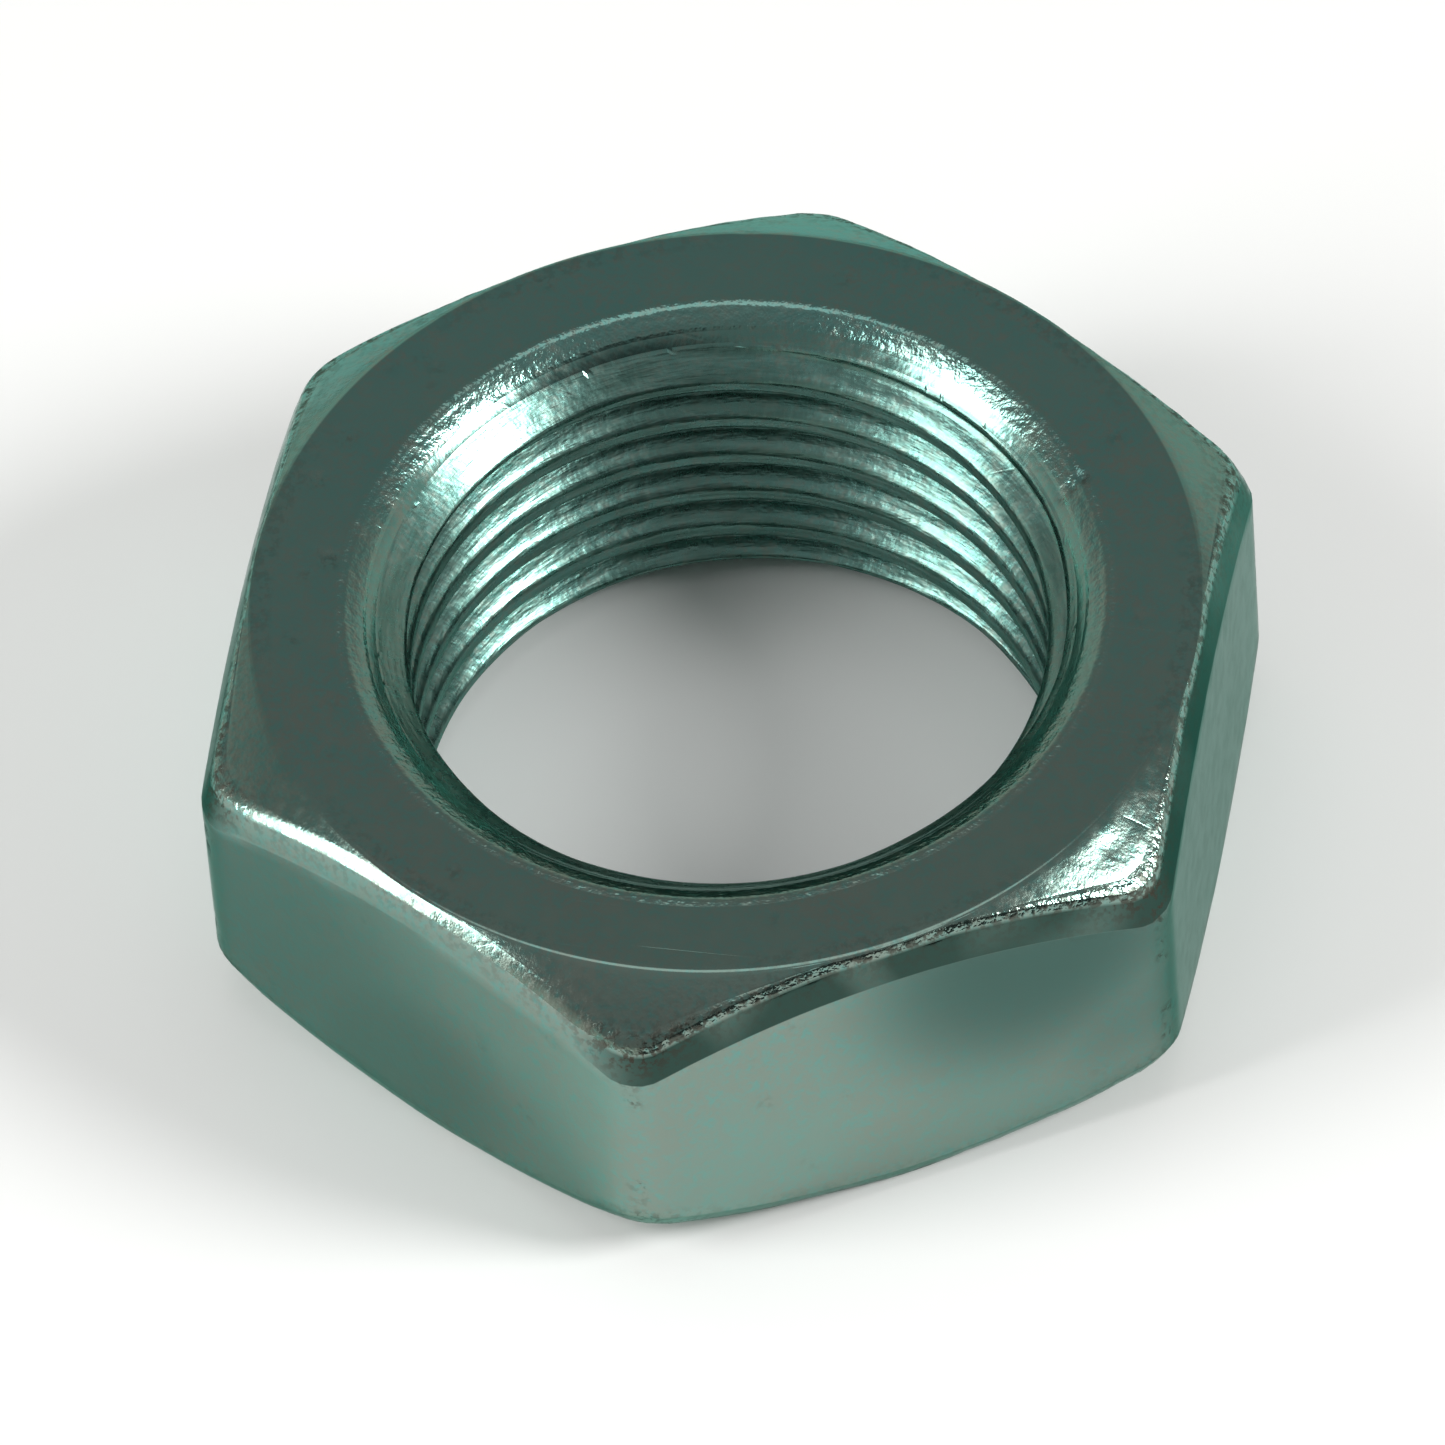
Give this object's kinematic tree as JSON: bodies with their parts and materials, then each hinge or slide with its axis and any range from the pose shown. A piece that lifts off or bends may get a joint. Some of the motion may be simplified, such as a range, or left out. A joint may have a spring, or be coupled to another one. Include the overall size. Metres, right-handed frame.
{
  "type": "hex nut",
  "caption": "Thin hexagon nut in bright zinc-plated steel, chamfered and countersunk on both faces, with a right-hand fine thread right through.",
  "frame": {"origin": "centre of the thread axis on the lower bearing face", "axes": "+Z along the thread axis towards the upper bearing face; one pair of spanner flats faces +X and -X, and two corners of the hexagon lie on +Y and -Y"},
  "size_m": [0.027, 0.0306, 0.0102],
  "materials": {
    "zinc_plate": "bright zinc plate, clear passivate with a faint green tint, satin on the bearing faces and bright on the chamfers and thread"
  },
  "bodies": {
    "root": {"hex_nut": "zinc_plate"}
  },
  "joints": []
}
